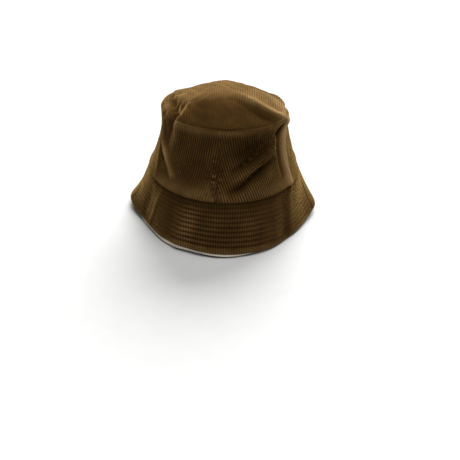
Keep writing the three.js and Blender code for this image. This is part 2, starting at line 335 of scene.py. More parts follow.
def fold_sum(points, normals):
    """How far all the folds together lift each point."""
    return sum(fold_height(points, normals, *fold) for fold in FOLDS)


# Painted highlights along lines where a ridge catches the light: points as for a fold, then how much and
# the two widths.
HIGHLIGHT_LINES = [
    ([(92, 0.94, 0.6), (73, 0.90, 1.0), (61, 0.80, 1.0), (56.5, 0.64, 1.0), (56, 0.40, 1.0),
      (56.5, 0.10, 0.6), (57, 0.0, 0.2)], 1.3, 4.5, 5.0),
    ([(55, -0.10, 0.4), (56, -0.45, 0.8), (54.5, -0.85, 0.4)], 0.8, 2.0, 2.0),
    ([(-16, -0.25, 0.5), (-18, -0.65, 1.0), (-19, -0.90, 0.6)], 0.40, 9.0, 9.0),
    ([(76, 0.84, 0.3), (71, 0.62, 1.0), (68, 0.40, 0.5)], 0.8, 2.6, 2.6),
    ([(-46, 1.27, 0.4), (-38.5, 1.11, 1.0), (-41, 0.99, 1.0), (-39.5, 0.72, 0.4)], 0.8, 2.0, 2.0),
    ([(-60, 0.80, 0.4), (-56, 0.60, 0.9), (-45, 0.42, 1.0), (-37, 0.22, 0.4)], 0.8, 2.2, 2.2),
    ([(-76, 0.92, 0.5), (-70, 0.70, 1.0), (-64, 0.45, 0.6)], 0.35, 3.0, 3.0),
    ([(-44, -0.1, 0.4), (-50, -0.44, 0.8), (-54.5, -0.90, 0.4)], 0.6, 2.2, 2.6),
    ([(38, 1.70, 0.2), (44.5, 1.41, 0.8), (50, 1.20, 1.0), (60, 1.03, 1.0)], 0.7, 7.0, 3.0),
    ([(120, 1.55, 0.3), (104, 1.35, 1.0), (92, 1.15, 0.6)], 0.6, 7.0, 7.0),
    ([(132, 0.50, 0.4), (150, 0.80, 0.8)], 0.5, 4.0, 4.0),
    ([(-131, 0.70, 0.8), (-138, 0.20, 0.6)], 0.6, 3.5, 3.5),
]


def limited(wear):
    return np.clip(wear, -1, 1.3)


def fold_wear(angle, station):
    """Painted highlight on the folds' ridges and along the highlight lines, partly abraded pile too, and
    painted shade in their hollows.
    """
    points, normals = base_points(angle, station), base_normals(angle, station)
    folds = fold_sum(points, normals)
    highlights = sum(fold_height(points, normals, *line) for line in HIGHLIGHT_LINES)
    return limited(np.where(folds > 0, folds / 12.0, folds / 4.5) + highlights)


def drift(angle, station):
    """A slow unevenness of the whole hat, under a millimetre, so that no side is quite regular."""
    return (0.45 * np.sin(3 * angle + 4 * station + 0.7) + 0.35 * np.sin(5 * angle - 3 * station + 2.1)
            + 0.25 * np.sin(8 * angle + 7 * station + 4.0))


def level_place(angle, station):
    """The x and y of the surface's points."""
    return np.moveaxis(base_points(angle, station)[..., :2], -1, 0)


def tip_lumps(angle, station):
    """The tip's cloth is a little crushed, more at its left."""
    x, y = level_place(angle, station)
    crushed = np.sin(0.34 * x + 1.1 * np.sin(0.13 * y)) * np.sin(0.27 * y + 1.4 * np.sin(0.16 * x) + 0.6)
    return (0.30 + 0.35 * ramp(-5, -45, x)) * crushed * ramp(1.02, 1.12, station)


def brim_wave(angle, distance):
    """The brim's edge is sharper at the sides, and waves a little."""
    degrees = from_centre_back(angle)
    out = (distance / BRIM_WIDTH) ** 2
    left = 8.0 * bell(degrees + 91, 19) - 1.6 * bell(degrees + 95, 38)
    right = 4.4 * bell(degrees - 95, 13) - 1.6 * bell(degrees - 98, 32)
    corners = left + right
    wave = 0.5 * np.sin(7 * angle + 0.4) + 0.4 * np.sin(11 * angle + 2.0)
    return out * (corners + wave)


def form_height(angle, station):
    """All that lifts every layer of the hat together, in millimetres along the normal."""
    angle, station = matched(angle, station)
    points, normals = base_points(angle, station), base_normals(angle, station)
    height = drift(angle, station) * ramp(1.95, 1.4, station) + fold_sum(points, normals)
    for degrees, place, lift, radius in SWELLINGS:
        middle = base_points(math.radians(degrees), place)
        height = height + lift * bell(np.linalg.norm(points - middle, axis=-1), radius)
    distance = np.maximum(-station, 0) * BRIM_WIDTH
    return height + brim_wave(angle, distance) + tip_lumps(angle, station)


def seam_height(angle, station):
    """Puffed cloth beside the seams, in millimetres: the crown rolls out over the brim's root."""
    above = np.maximum(station, 0) * WALL_LENGTH
    below = np.maximum(-station, 0) * BRIM_WIDTH
    rolled = 1 - bell(above, 1.5)
    at_back, at_front = bell(from_centre_back(angle), 62), bell(from_centre_back(angle + FRONT), 60)
    fullness = 1.2 + 1.7 * at_back + 0.6 * at_front
    crown_roll = fullness * bell(above - 3.0, 4.2) * rolled - ROOT_DEPTH * (1 - rolled)
    brim_root = -ROOT_DEPTH * np.exp(-below / 2.6)
    under_tip = np.maximum(1 - station, 0) * WALL_LENGTH
    over_tip = np.maximum(station - 1, 0) * TIP_RADIUS
    wall_head = 1.1 * bell(under_tip - 5.0, 4.2)
    tip_edge = 0.6 * bell(over_tip - 4.0, 4.0)
    on_wall = (station >= 0) & (station <= 1)
    on_brim = station < 0
    return np.where(on_brim, brim_root, np.where(on_wall, crown_roll + wall_head, tip_edge))


# ---- Grain and surface relief ------------------------------------------------------------------


HALF_HEAD = math.pi / 2 * HEAD_RADIUS


def quarter_turns(angle, middle):
    """The angle from a panel's middle line to either side, 1 at its seams."""
    return ((angle - middle + TURN / 2) % TURN - TURN / 2) / (TURN / 4)


def around_arc(angle, station, middle):
    """Millimetres along the cloth from a panel's middle line, level with the given station."""
    half_tip = math.pi / 2 * TIP_RADIUS * 1.03
    half_edge = HALF_HEAD + BRIM_WIDTH * math.cos(math.radians(72)) * math.pi / 2
    up, down = np.clip(station, 0, 1), np.clip(-station, 0, 1.1)
    half = HALF_HEAD + (half_tip - HALF_HEAD) * up + (half_edge - HALF_HEAD) * down
    return quarter_turns(angle, middle) * half


def side_grain(middle, lean):
    """Wales near to parallel with the middle line of a crown side panel, so they lean at its seams,
    more at the foot than at the head. lean is how far they close in over the panel's height."""
    def grain(angle, station):
        closing = lean * station * (1.45 - 0.45 * station)
        return quarter_turns(angle, middle) * (HALF_HEAD - closing), station * WALL_LENGTH
    return grain


def brim_grain(middle):
    def grain(angle, station):
        return around_arc(angle, station, middle), station * BRIM_WIDTH
    return grain


def tip_grain(angle, station):
    """Wales from front to back."""
    x, y = level_place(angle, station)
    return x * 1.05, y


def wale_relief(across):
    """A rounded wale with a narrower groove on each side: 0 on the crest and -1 in the groove."""
    return -(0.5 + 0.5 * np.cos(TURN * across / WALE_PITCH)) ** 1.4


def stitch_row_distance(distance):
    """How far a point of the brim is from the nearest stitch row, in millimetres."""
    row = np.clip(np.round((distance - FIRST_ROW) / ROW_PITCH), 0, BRIM_ROWS - 1)
    return distance - (FIRST_ROW + row * ROW_PITCH)


def between_rows(distance):
    """0 on a stitch row of the brim, rising to 1 midway between two."""
    off = np.abs(stitch_row_distance(distance))
    return np.sin(np.clip(off / (ROW_PITCH / 2), 0, 1) * math.pi / 2)


def quilting(distance):
    """The brim puffs up between its stitch rows and more towards its edge."""
    between = QUILTING * between_rows(distance)
    plump = 0.75 * bell(distance - (BRIM_WIDTH - 3.2), 2.4)
    root = ramp(0.0, 4.0, distance)
    return (between - QUILTING) * root + plump


def pinch(angle):
    """Where the tip's seam is drawn in deep, with painted shade in it: only at the middle of the back."""
    return bell(from_centre_back(angle) - 4, 11)


def seam_groove(angle, station, across_seams, reach=1.1):
    """The panel dips into its own seams. across_seams are the angles of its upright seams."""
    above = np.abs(station) * np.where(station < 0, BRIM_WIDTH, WALL_LENGTH)
    under_tip = np.abs(1 - station) * np.where(station > 1, TIP_RADIUS, WALL_LENGTH)
    pinched = 0.45 + 0.65 * pinch(angle)
    groove = 0.75 * bell(above, reach) + pinched * bell(under_tip, reach)
    flat_head = 1 - 0.7 * ramp(0.70, 0.92, station)
    for seam in across_seams:
        groove = groove + 0.8 * flat_head * bell(around_arc(angle, station, seam), reach * 1.1)
    return -np.minimum(groove, 1.1)


PUCKER_HEIGHT = 1.3


def puckers(angle, station, seam):
    """Small uneven gathers beside an upright seam, most of them low and to its left."""
    off = around_arc(angle, station, seam)
    along = station * WALL_LENGTH
    slant = 0.30 * off + 1.5 * np.sin(along * 0.31 + 0.12 * off)
    beat = 0.8 * np.sin(along * 0.55 + slant) + 0.45 * np.sin(along * 1.15 - 0.4 * off + 2.0)
    uneven = 0.8 - 0.2 * np.tanh(off / 2)
    low = bell(station - 0.33, 0.24)
    beside = bell(np.abs(off) - 3.6, 2.8) - 0.3 * bell(np.abs(off) - 9.5, 3.4)
    return PUCKER_HEIGHT * beat * uneven * low * beside


def side_wear(back_seam):
    """Painted highlight on the ridges, the puckers, the roll over the brim and the puff under the tip, and
    painted shade in the folds, at the seams, under the roll, above the crease at the right and at the left
    flank."""
    def wear(angle, station):
        above, under_tip = station * WALL_LENGTH, (1 - station) * WALL_LENGTH
        # Painted highlight on top of the roll at the crown's foot, and a painted shadow under it.
        roll = 0.25 * bell(above - 5.0, 7.0) - 1.3 * bell(above, 1.4)
        seam = -0.5 * bell(around_arc(angle, station, back_seam), 1.4) * (1 - ramp(0.7, 0.9, station))
        gathered = puckers(angle, station, back_seam)
        gathers = 0.25 * np.maximum(gathered, 0) + 0.75 * np.minimum(gathered, 0)
        head = 0.22 * bell(under_tip - 5, 4) + (0.25 - 1.2 * pinch(angle)) * bell(under_tip, 1.4)
        degrees = from_centre_back(angle)
        over_crease = bell(degrees - 28, 15) * bell(station - 0.68, 0.22)
        shade = 0.35 * over_crease + 0.45 * bell(degrees + 80, 22)
        return limited(fold_wear(angle, station) + roll + seam + gathers + head - shade)
    return wear


def row_strength(angle):
    """How deep the brim's rows lie: fully at the back, and hardly at the flanks."""
    degrees = np.abs(from_centre_back(angle))
    return 1 - 0.78 * window(degrees, 20, 52, 130, 165)


def brim_wear(angle, station):
    """Painted shade at the root under the crown's roll, at the flanks and along the stitch rows, and
    painted highlight on the puffs between them; the pile is also lighter at the edge.
    """
    distance = -station * BRIM_WIDTH
    uneven = 0.8 + 0.2 * np.sin(11 * angle + 0.9 * distance) + 0.15 * np.sin(29 * angle - 0.7 * distance)
    sewn = bell(stitch_row_distance(distance), 1.1)
    rows = (0.18 - 0.72 * sewn) * row_strength(angle) * uneven
    root = -1.3 * np.exp(-distance / 4.6)
    edge = 0.35 * bell(distance - BRIM_WIDTH + 1.0, 2.0)
    degrees = from_centre_back(angle)
    flanks = 0.65 * bell(degrees - 74, 24) + 0.35 * bell(degrees + 72, 24)
    return limited(fold_wear(angle, station) * 0.9 + rows + root + edge - flanks)


def tip_wear(angle, station):
    """Painted highlight on the top and the right of the tip, where the light falls, and painted shade
    darkest at its back.
    """
    x, y = level_place(angle, station)
    over_seam = (station - 1) * TIP_RADIUS
    painted_light = 0.52 * ramp(-40, -12, y) - 0.2 * ramp(10, 50, y) - 0.55 * ramp(-28, -54, y)
    painted_light = painted_light + 0.22 * ramp(12, 32, x) * ramp(-62, -30, y) * ramp(20, 0, y)
    # Painted shade in the pinched seam, with a painted highlight on the puff beside it.
    seam = (0.2 - 1.1 * pinch(angle)) * bell(over_seam, 1.4) + 0.15 * bell(over_seam - 3, 2.2)
    return limited(fold_wear(angle, station) * 0.9 + painted_light + seam)


def side_nap(angle, station):
    """Where the pile is brushed over the grooves, from 0 to 1: at both flanks, where the crown turns
    over into its tip, and at the foot of the left of the back."""
    degrees = from_centre_back(angle)
    left, right = 0.9 * window(degrees, -28, -48, -120, -150), 0.9 * window(degrees, 32, 54, 120, 150)
    turning = 0.7 * bell((1 - station) * WALL_LENGTH - 3.0, 5.5) * (station > 0) * (station < 1)
    low_left = window(degrees, 2, -6, -60, -90) * (0.06 + 0.55 * ramp(0.42, 0.15, station))
    return np.clip(left + right + turning + low_left, 0, 1)


def brim_nap(angle, station):
    """Half brushed all round, and nearly fully at both flanks."""
    degrees = from_centre_back(angle)
    left, right = 0.6 * window(degrees, -22, -46, -115, -150), 0.55 * window(degrees, 44, 70, 120, 150)
    return np.clip(0.48 + left + right, 0, 1)


def tip_nap(angle, station):
    """The tip is brushed all over, but less on its right, where the grooves show, and at its front."""
    x, y = level_place(angle, station)
    clear = ramp(6, 26, x) * ramp(-42, -12, y)
    front = 0.5 * ramp(10, 40, y) * ramp(-10, -30, x)
    return np.clip(0.85 - 0.5 * clear - front, 0, 1)


def crown_relief(seams):
    def relief(angle, station, across):
        wales = WALE_HEIGHT * wale_relief(across) * (1 - 0.85 * side_nap(angle, station))
        gathers = sum(puckers(angle, station, seam) for seam in seams)
        return wales + seam_groove(angle, station, seams) + gathers
    return relief


def brim_relief(seams):
    def relief(angle, station, across):
        distance = np.maximum(-station, 0) * BRIM_WIDTH
        row = bell(stitch_row_distance(distance), 0.9)
        brushed, rows = 0.9 - 0.85 * brim_nap(angle, station), row_strength(angle)
        wales = WALE_HEIGHT * wale_relief(across) * (1 - 0.55 * row) * brushed
        puffs = (quilting(distance) - ROW_DIP * row) * rows
        return wales + puffs + seam_groove(angle, station, seams, 0.9)
    return relief


def flat_relief(angle, station, across):
    return np.zeros_like(across)


# ---- Meshes ------------------------------------------------------------------------------------


def surface_points(angle, station, depth, lift=0.0):
    """Points of a layer at a depth below the folded outside of the hat, with its own relief as lift."""
    normals = base_normals(angle, station)
    height = form_height(angle, station) + seam_height(angle, station) - depth + lift
    return base_points(angle, station) + normals * np.asarray(height)[..., None]


class MeshParts:
    """Collects points and faces of one piece, with two UV maps: the cloth's grain and the bake."""

    def __init__(self):
        self.points, self.wear, self.nap, self.count = [], [], [], 0
        self.faces, self.grain, self.bake = [], [], []

    def add_points(self, points, wear=0.0, nap=0.0):
        """The shade and wear mark is 1 where the pile is lightened, mostly by painted highlight and partly
        by abrasion,
        0 where it is even and -1 where it is darkened by painted shade. nap is 1 where the pile is brushed
        over the grooves."""
        start = self.count
        flat = points.reshape(-1, 3)
        self.points.append(flat)
        self.wear.append(np.broadcast_to(wear, points.shape[:-1]).reshape(-1))
        self.nap.append(np.broadcast_to(nap, points.shape[:-1]).reshape(-1))
        self.count += len(flat)
        return start + np.arange(len(flat)).reshape(points.shape[:-1])

    def add_faces(self, faces, grain, bake):
        """faces holds point numbers, (n, 3) or (n, 4); grain and bake a UV pair for each corner."""
        self.faces.append(faces)
        self.grain.append(grain)
        self.bake.append(bake)


def grid_faces(index, flip=False):
    quads = np.stack([index[:-1, :-1], index[:-1, 1:], index[1:, 1:], index[1:, :-1]], -1)
    quads = quads.reshape(-1, 4)
    return quads[:, ::-1] if flip else quads


def grid_corners(values, flip=False):
    """The values of a grid's points at the corners of grid_faces."""
    corners = np.stack([values[:-1, :-1], values[:-1, 1:], values[1:, 1:], values[1:, :-1]], -2)
    corners = corners.reshape(-1, 4, values.shape[-1])
    return corners[:, ::-1] if flip else corners


# Where the parts of a panel lie on the bake map: bands from low to high for its face and its back, and
# the places of the narrow strips for its first and last edges. A tip's sides are discs, given by size
# and middle.
FACE_BAND, BACK_BAND = (0.2, 0.996), (0.03, 0.19)
ROW_STRIPS, COLUMN_STRIPS = (0.002, 0.009), (0.016, 0.023)
SHOWN_DISC, HIDDEN_DISC = (0.36, (0.38, 0.62)), (0.11, (0.88, 0.12))


def spread(rows, columns, low, high):
    """Bake coordinates of a grid, filling a band of the map from low to high."""
    v, u = np.meshgrid(np.linspace(low, high, rows), np.linspace(0.004, 0.996, columns), indexing="ij")
    return np.stack([u, v], -1)


def border_fan(fine, coarse, ratio, flip):
    """Triangles between a fine edge and a coarse edge, ratio fine steps to each coarse step."""
    faces = []
    for k in range(len(coarse) - 1):
        first, last = k * ratio, min((k + 1) * ratio, len(fine) - 1)
        middle = (first + last) // 2
        for i in range(first, middle):
            faces.append((coarse[k], fine[i + 1], fine[i]))
        faces.append((coarse[k], coarse[k + 1], fine[middle]))
        for i in range(middle, last):
            faces.append((coarse[k + 1], fine[i + 1], fine[i]))
    faces = np.array(faces)
    return faces[:, ::-1] if flip else faces


def add_border(parts, fine, coarse, ratio, flip, grain, band):
    """A border_fan with one grain for all of it, and a narrow band of the bake map."""
    faces = border_fan(fine, coarse, ratio, flip)
    grains = np.tile(np.asarray(grain, float), (len(faces), 3, 1))
    place = np.linspace(0.01, 0.99, len(faces))[:, None, None]
    corner = np.array([[0, 0], [0.0004, 0], [0, 0.003]])
    bakes = np.concatenate([np.broadcast_to(place, (len(faces), 3, 1)),
                            np.full((len(faces), 3, 1), band)], -1) + corner
    parts.add_faces(faces, grains, bakes)


def thinned(count, ratio):
    """Every ratio-th place of count places, always with the last one."""
    places = list(range(0, count - 1, ratio))
    return np.array(places + [count - 1])


def nothing(angle, station):
    return 0.0


# How much of a lining's relief its hidden side follows.
BACK_FOLLOWS = 0.85


def cloth_panel(name, angles, face_rows, back_rows, grain, relief, ratios, material, inside=False,
                wear=nothing, nap=nothing, sag=nothing):
    """A closed panel of cloth with a fine face and a coarse back.

    face_rows and back_rows are pairs of arrays, station and depth, with a row for each line of points
    along the cloth and a column for each angle, or one column for all. With inside, the face is the side
    towards the head, and its relief rises that way.
    """
    station, depth = (np.broadcast_to(rows, (len(rows), len(angles))) for rows in face_rows)
    angle = np.broadcast_to(angles, station.shape)
    across, along = grain(angle, station)
    lift = relief(angle, station, across)
    face = surface_points(angle, station, depth, -lift if inside else lift)
    face[..., 2] -= sag(angle, station)
    parts = MeshParts()
    face_index = parts.add_points(face, wear(angle, station), nap(angle, station))
    grains = np.stack([across / WALE_PITCH, along / WALE_PITCH], -1)
    rows, columns = station.shape
    parts.add_faces(grid_faces(face_index, inside), grid_corners(grains, inside),
                    grid_corners(spread(rows, columns, *FACE_BAND), inside))
    kept = np.ix_(thinned(rows, ratios[0]), thinned(columns, ratios[1]))
    back_station, back_depth = (np.broadcast_to(rows, station.shape)[kept] for rows in back_rows)
    back_lift = -BACK_FOLLOWS * lift[kept] if inside else 0.0
    back = surface_points(angle[kept], back_station, back_depth, back_lift)
    back[..., 2] -= sag(angle[kept], back_station)
    back_index = parts.add_points(back)
    parts.add_faces(grid_faces(back_index, not inside), grid_corners(grains[kept], not inside),
                    grid_corners(spread(*back_index.shape, *BACK_BAND), not inside))
    for end, row_strip, column_strip in zip((0, -1), ROW_STRIPS, COLUMN_STRIPS):
        flip = (end == -1) != inside
        add_border(parts, face_index[end], back_index[end], ratios[1], flip, grains[end, 0], row_strip)
        add_border(parts, face_index[:, end], back_index[:, end], ratios[0], not flip, grains[0, end],
                   column_strip)
    return finish_mesh(name, parts, material)


# Cut edges of the cloth are sharper than this, and its wales are not.
SHARP_EDGE = math.radians(75)


def linked(name, data):
    """A new object with this data, in the scene."""
    item = bpy.data.objects.new(name, data)
    bpy.context.scene.collection.objects.link(item)
    return item


def finish_mesh(name, parts, material):
    """The collected points and faces as a linked object with one material."""
    points = np.concatenate(parts.points) * MM
    mesh = bpy.data.meshes.new(name)
    sizes = np.concatenate([np.full(len(f), f.shape[1]) for f in parts.faces])
    corners = np.concatenate([f.reshape(-1) for f in parts.faces])
    mesh.vertices.add(len(points))
    mesh.vertices.foreach_set("co", points.reshape(-1).astype(np.float32))
    mesh.loops.add(len(corners))
    mesh.loops.foreach_set("vertex_index", corners.astype(np.int32))
    mesh.polygons.add(len(sizes))
    starts = np.concatenate([[0], np.cumsum(sizes)[:-1]])
    mesh.polygons.foreach_set("loop_start", starts.astype(np.int32))
    mesh.polygons.foreach_set("use_smooth", np.full(len(sizes), True))
    mesh.update(calc_edges=True)
    for layer_name, values in (("Grain", parts.grain), ("OFBake", parts.bake)):
        if values:
            layer = mesh.uv_layers.new(name=layer_name)
            flat = np.concatenate([v.reshape(-1, 2) for v in values])
            layer.data.foreach_set("uv", flat.reshape(-1).astype(np.float32))
    # ShadeAndWear holds painted shade and painted highlights, with some lightening from abrasion of the
    # pile.
    for attribute_name, values in (("ShadeAndWear", parts.wear), ("Nap", parts.nap)):
        attribute = mesh.attributes.new(attribute_name, "FLOAT", "POINT")
        attribute.data.foreach_set("value", np.concatenate(values).astype(np.float32))
    mesh.validate()
    mesh.set_sharp_from_angle(angle=SHARP_EDGE)
    mesh.materials.append(material)
    return linked(name, mesh)


# ---- Materials ---------------------------------------------------------------------------------


class Nodes:
    """A short way to write a material's nodes."""

    def __init__(self, name):
        self.material = bpy.data.materials.new(name)
        self.material.use_nodes = True
        self.tree = self.material.node_tree
        self.shader = self.tree.nodes["Principled BSDF"]

    def add(self, kind, **settings):
        node = self.tree.nodes.new(kind)
        for key, value in settings.items():
            setattr(node, key, value)
        return node

    def link(self, source, target):
        self.tree.links.new(source, target)

    def math(self, operation, a, b=0.0, c=0.0):
        node = self.add("ShaderNodeMath", operation=operation)
        for socket, value in zip(node.inputs, (a, b, c)):
            self.put(socket, value)
        return node.outputs[0]

    def put(self, socket, value):
        if isinstance(value, bpy.types.NodeSocket):
            self.link(value, socket)
        else:
            socket.default_value = value

    def noise(self, vector, scale, detail=3.0, roughness=0.55):
        node = self.add("ShaderNodeTexNoise")
        for socket, value in (("Vector", vector), ("Scale", scale), ("Detail", detail),
                              ("Roughness", roughness)):
            self.put(node.inputs[socket], value)
        return node.outputs["Fac"]

    def stretch(self, vector, scale):
        node = self.add("ShaderNodeMapping")
        self.put(node.inputs["Vector"], vector)
        node.inputs["Scale"].default_value = scale
        return node.outputs[0]

    def mix(self, factor, a, b, blend_type="MIX"):
        node = self.add("ShaderNodeMix", data_type="RGBA", blend_type=blend_type)
        for socket, value in ((0, factor), (6, a), (7, b)):
            self.put(node.inputs[socket], value)
        return node.outputs[2]

    def multiply(self, a, b):
        return self.mix(1.0, a, b, "MULTIPLY")

    def ramp(self, value, stops):
        node = self.add("ShaderNodeValToRGB")
        self.put(node.inputs[0], value)
        elements = node.color_ramp.elements
        while len(elements) < len(stops):
            elements.new(0.5)
        for element, (place, colour) in zip(elements, stops):
            element.position = place
            element.color = (*colour, 1)
        return node.outputs[0]

    def bump(self, height, distance):
        node = self.add("ShaderNodeBump")
        self.put(node.inputs["Distance"], distance)
        self.put(node.inputs["Height"], height)
        self.set("Normal", node.outputs[0])

    def set(self, socket, value):
        """Gives one of the shader's own sockets its value."""
        self.put(self.shader.inputs[socket], value)

    def sheen(self, weight, roughness, tint):
        self.set("Sheen Weight", weight)
        self.set("Sheen Roughness", roughness)
        self.set("Sheen Tint", (*tint, 1))

    def grain(self):
        """The cloth's grain, and how far across and along it a point is."""
        grain = self.add("ShaderNodeUVMap", uv_map="Grain").outputs[0]
        split = self.add("ShaderNodeSeparateXYZ")
        self.link(grain, split.inputs[0])
        return grain, split.outputs[0], split.outputs[1]


def corduroy_material():
    """Dark grooves, partly painted shade, lighter pile on the wales in fine streaks, patches of turned
    nap, a sheen, and painted shade and highlights from the shade and wear mark.
    """
    n = Nodes("corduroy")
    grain, across, _ = n.grain()
    place = n.math("FRACT", across)
    off_crest = n.math("ABSOLUTE", n.math("SUBTRACT", n.math("MULTIPLY", place, 2.0), 1.0))
    groove = n.math("POWER", off_crest, 1.4)
    streaks = n.noise(n.stretch(grain, (5.0, 0.9, 1.0)), 1.0, 4.0, 0.6)
    fuzz = n.noise(n.stretch(grain, (14.0, 9.0, 1.0)), 1.0, 3.0, 0.7)
    where = n.add("ShaderNodeNewGeometry").outputs["Position"]
    patches = n.noise(where, 38.0, 3.0, 0.5)
    pile = n.mix(streaks, (0.034, 0.0160, 0.0034, 1), (0.110, 0.061, 0.0200, 1))
    wear = n.add("ShaderNodeAttribute", attribute_name="ShadeAndWear").outputs["Fac"]
    # Painted shade (dark stops) and painted highlights (the light, paler stops), with some abraded pile,
    # from the mark.
    shade_and_wear_tint = n.ramp(n.math("MULTIPLY_ADD", wear, 0.40, 0.5),
                  [(0.0, (0.30, 0.28, 0.26)), (0.5, (0.82, 0.81, 0.80)), (0.82, (2.45, 2.75, 3.6)),
                   (1.0, (3.6, 4.5, 7.0))])
    turned = n.ramp(patches, [(0.35, (0.80, 0.79, 0.76)), (0.68, (1.22, 1.20, 1.15))])
    shaded = n.multiply(pile, turned)
    nap = n.add("ShaderNodeAttribute", attribute_name="Nap").outputs["Fac"]
    # The grooves' near-black colour is painted shade in the wale grooves, over the ground weave's own
    # darker tone; brushed nap hides it.
    open_groove = n.math("MULTIPLY", groove, n.math("MULTIPLY_ADD", nap, -0.72, 0.95))
    colour = n.mix(open_groove, shaded, (0.004, 0.0018, 0.0005, 1))
    n.set("Base Color", n.multiply(colour, shade_and_wear_tint))
    n.set("Roughness", n.math("MULTIPLY_ADD", fuzz, 0.18, 0.74))
    n.set("Specular IOR Level", 0.03)
    n.set("IOR", 1.05)
    n.sheen(0.6, 0.20, (1.0, 0.62, 0.20))
    height = n.math("ADD", n.math("MULTIPLY", fuzz, 0.7), n.math("MULTIPLY", streaks, 0.5))
    n.bump(height, 0.00035)
    return n.material


def weave_material(name, colour, shade, pitch, depth, sheen=0.15):
    """A plain weave: threads over and under each other, uneven in thickness and tone."""
    n = Nodes(name)
    grain, across, along = n.grain()
    wobble = n.noise(grain, 0.8, 2.0)
    turns = TURN * WALE_PITCH / pitch / 2
    warp = n.math("SINE", n.math("MULTIPLY_ADD", across, turns, wobble))
    weft = n.math("SINE", n.math("MULTIPLY_ADD", along, turns, wobble))
    over = n.math("MULTIPLY", warp, weft)
    slub = n.noise(n.stretch(grain, (0.35, 4.0, 1.0)), 1.0, 4.0)
    tone = n.math("MULTIPLY_ADD", over, 0.22, n.math("MULTIPLY_ADD", slub, 0.7, 0.15))
    n.set("Base Color", n.mix(tone, (*shade, 1), (*colour, 1)))
    n.set("Roughness", n.math("MULTIPLY_ADD", slub, 0.15, 0.78))
    n.set("Specular IOR Level", 0.2)
    n.sheen(sheen, 0.5, (1.0, 0.97, 0.9))
    n.bump(n.math("MULTIPLY_ADD", over, 0.5, n.math("MULTIPLY", slub, 0.5)), depth)
    return n.material


def thread_material(name, colour, shade):
    """A twisted thread: slanting plies with a slight gloss."""
    n = Nodes(name)
    grain, across, along = n.grain()
    plies = n.math("SINE", n.math("MULTIPLY_ADD", across, 18.0, n.math("MULTIPLY", along, TURN)))
    fluff = n.noise(grain, 9.0, 3.0)
    tone = n.math("MULTIPLY_ADD", plies, 0.35, n.math("MULTIPLY_ADD", fluff, 0.5, 0.25))
    n.set("Base Color", n.mix(tone, (*shade, 1), (*colour, 1)))
    n.set("Roughness", n.math("MULTIPLY_ADD", fluff, 0.2, 0.6))
    n.set("Specular IOR Level", 0.15)
    n.sheen(0.05, 0.4, (1.0, 0.9, 0.75))
    n.bump(plies, 0.00008)
    return n.material


CORDUROY_CLOTH = corduroy_material()
CREAM_CLOTH = weave_material("cream_cotton", (0.80, 0.73, 0.60), (0.60, 0.53, 0.41), 0.55, 0.00012)
FELT = weave_material("interlining", (0.82, 0.80, 0.74), (0.68, 0.65, 0.58), 0.9, 0.00006)
BAND_CLOTH = weave_material("sweatband_twill", (0.115, 0.066, 0.030), (0.050, 0.027, 0.012), 0.9,
                            0.0002)
LABEL_CLOTH = weave_material("label_weave", (0.74, 0.68, 0.56), (0.58, 0.52, 0.41), 0.4, 0.00006, 0.3)
BROWN_THREAD = thread_material("brown_thread", (0.024, 0.012, 0.004), (0.010, 0.005, 0.002))
CREAM_THREAD = thread_material("cream_thread", (0.78, 0.70, 0.56), (0.52, 0.45, 0.33))


# ---- Pieces ------------------------------------------------------------------------------------

# Half the gap between two panels at their seam, in millimetres.
HALF_SEAM = 0.03
SEAM_ANGLE = HALF_SEAM / TIP_HALF_WIDTH
# How far the centre back seam is pulled round, and how far the wales of each crown panel close in.
BACK_SEAM_SHIFT = math.radians(-2.3)
WALE_LEAN = {"right": 25.0, "left": 11.0}
# Millimetres between the points of the finest meshes.
CROWN_STEP, BRIM_STEP, TIP_STEP = 0.45, 0.47, 0.62


def joined(piece, slot, *nodes):
    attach(piece, "root")
    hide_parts(*nodes)
    return piece


def half_angles(start, step):
    """Angles of a half-turn panel from its one seam to the other, about step millimetres apart."""
    count = int(math.pi * HEAD_RADIUS / step)
    return np.linspace(start + SEAM_ANGLE, start + TURN / 2 - SEAM_ANGLE, count)


def pulled(angles):
    """The hat sits a little twisted, so its centre back seam stands left of the middle."""
    return angles + BACK_SEAM_SHIFT * bell(from_centre_back(angles), 40)


def column(values):
    return np.asarray(values, float)[:, None]


def level_rows(low, high, count, depth, crowd=0.0):
    """Rows between two stations, all at one depth. With crowd above 0 they are closer at both ends."""
    share = np.linspace(0, 1, count)
    share = share - crowd * np.sin(TURN * share) / TURN
    return column(low + (high - low) * share), column(np.full(count, depth))


WALL_LOW = HALF_SEAM / WALL_LENGTH
WALL_HIGH = 1 - WALL_LOW
# How far the roll at the crown's foot hangs down at the back.
CROWN_SAG = 3.7


def crown_sag(angle, station):
    """The roll at the foot of the crown hangs over the brim's root, most at the back."""
    above = station * WALL_LENGTH
    share = 0.35 + 0.65 * bell(from_centre_back(angle), 60)
    return CROWN_SAG * share * bell(above - 2.6, 3.6) * (1 - bell(above, 1.2))


def make_sides():
    face, back = (level_rows(WALL_LOW, WALL_HIGH, 136, depth, 0.6) for depth in (0.0, CORDUROY))
    seam = BACK + BACK_SEAM_SHIFT
    for side, start, middle in CROWN_PANELS:
        piece = cloth_panel(f"corduroy_side_{side}", pulled(half_angles(start, CROWN_STEP)), face, back,
                            side_grain(middle, WALE_LEAN[side]), crown_relief((seam, FRONT)), (5, 6),
                            CORDUROY_CLOTH, wear=side_wear(seam), nap=side_nap, sag=crown_sag)
        joined(piece, "corduroy", f"crown_side_outer_{side}")


# How far the lining, and what is sewn to it, hangs free of the corduroy.
LINING_EASE = 1.7


